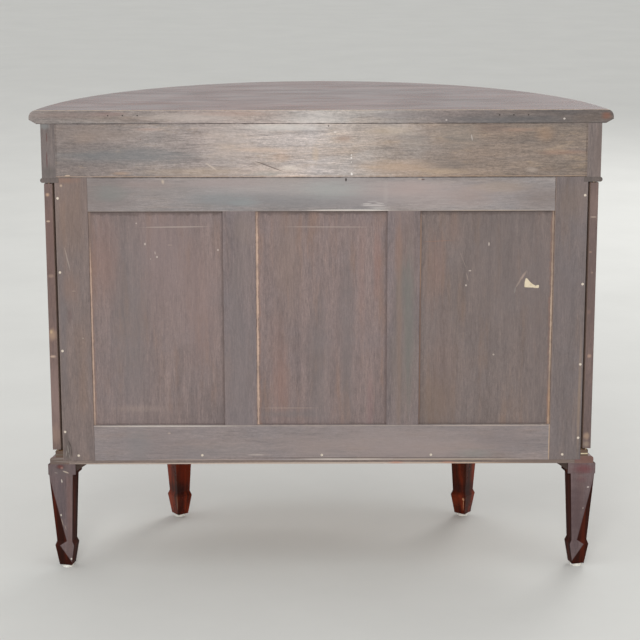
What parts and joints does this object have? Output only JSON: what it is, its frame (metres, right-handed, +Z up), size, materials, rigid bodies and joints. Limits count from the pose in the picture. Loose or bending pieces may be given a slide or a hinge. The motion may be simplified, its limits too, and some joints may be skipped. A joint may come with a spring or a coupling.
{
  "type": "demi lune sideboard",
  "caption": "Half-round sideboard with a flat framed back, a bowed front of curved doors under a drawer, and tapered legs on spade feet.",
  "frame": {"origin": "on the floor, in the middle of the overall width and depth", "axes": "+X to the right seen from the front, +Y towards the flat back, +Z up; the bowed front faces -Y"},
  "size_m": [1.11, 0.462, 0.919],
  "materials": {
    "polished": "dark red mahogany, polished",
    "bare": "weathered grey-brown wood, unpolished",
    "inside": "plain wood, waxed",
    "brass": "aged brass",
    "steel": "bright nail heads",
    "nylon": "off-white nylon"
  },
  "bodies": {
    "case": {"top_board": "polished", "frieze_back": "bare", "frieze_side_left": "polished", "frieze_side_right": "polished", "frieze_blocks": "polished", "frieze_top_rail": "polished", "waist_rail": "polished", "dust_panel": "inside", "drawer_runners": "inside", "drawer_kickers": "inside", "carcase_bottom": "inside", "base_band": "polished", "base_back_rail": "bare", "leg_front_left": "polished", "leg_front_right": "polished", "leg_rear_left": "polished", "leg_rear_right": "polished", "glides": "nylon", "front_post_left": "polished", "front_post_right": "polished", "rear_post_left": "inside", "rear_post_right": "inside", "partition_left": "inside", "partition_right": "inside", "shelf_centre": "inside", "side_shelves": "inside", "shelf_pins": "brass", "back_stile_left": "bare", "back_stile_right": "bare", "back_top_rail": "bare", "back_bottom_rail": "bare", "back_muntins": "bare", "back_panel_left": "bare", "back_panel_centre": "bare", "back_panel_right": "bare", "back_nails": "steel", "corner_blocks": "bare", "hinge_plates": "brass", "ball_catches": "brass"},
    "left_side_door": {"door_side_left": "polished", "leaves_side_left": "brass", "knob_side_left": "brass"},
    "right_side_door": {"door_side_right": "polished", "leaves_side_right": "brass", "knob_side_right": "brass"},
    "left_centre_door": {"door_centre_left": "polished", "leaves_centre_left": "brass", "knob_centre_left": "brass"},
    "right_centre_door": {"door_centre_right": "polished", "leaves_centre_right": "brass", "knob_centre_right": "brass"},
    "drawer": {"drawer_front": "polished", "drawer_side_left": "inside", "drawer_side_right": "inside", "drawer_back": "inside", "drawer_bottom": "inside", "pull_plates": "brass", "pull_posts": "brass"},
    "left_bail": {"bail_left": "brass"},
    "right_bail": {"bail_right": "brass"}
  },
  "joints": [
    {"name": "left_side_door_turn", "type": "hinge", "parent": "case", "child": "left_side_door", "pos_m": [-0.52081, 0.226, 0.5125], "axis": [0, 0, -1], "range_deg": [0, 95]},
    {"name": "right_side_door_turn", "type": "hinge", "parent": "case", "child": "right_side_door", "pos_m": [0.52081, 0.226, 0.5125], "axis": [0, 0, 1], "range_deg": [0, 95]},
    {"name": "left_centre_door_turn", "type": "hinge", "parent": "case", "child": "left_centre_door", "pos_m": [-0.28176, -0.11762, 0.5125], "axis": [0, 0, -1], "range_deg": [0, 95]},
    {"name": "right_centre_door_turn", "type": "hinge", "parent": "case", "child": "right_centre_door", "pos_m": [0.28176, -0.11762, 0.5125], "axis": [0, 0, 1], "range_deg": [0, 95]},
    {"name": "drawer_slide", "type": "slide", "parent": "case", "child": "drawer", "axis": [0, -1, 0], "range_m": [0, 0.22]},
    {"name": "left_bail_swing", "type": "hinge", "parent": "drawer", "child": "left_bail", "pos_m": [-0.15357, -0.20222, 0.84175], "axis": [-0.9613, 0.2756, 0], "range_deg": [-15, 150]},
    {"name": "right_bail_swing", "type": "hinge", "parent": "drawer", "child": "right_bail", "pos_m": [0.15357, -0.20222, 0.84175], "axis": [-0.9613, -0.2756, 0], "range_deg": [-15, 150]}
  ]
}
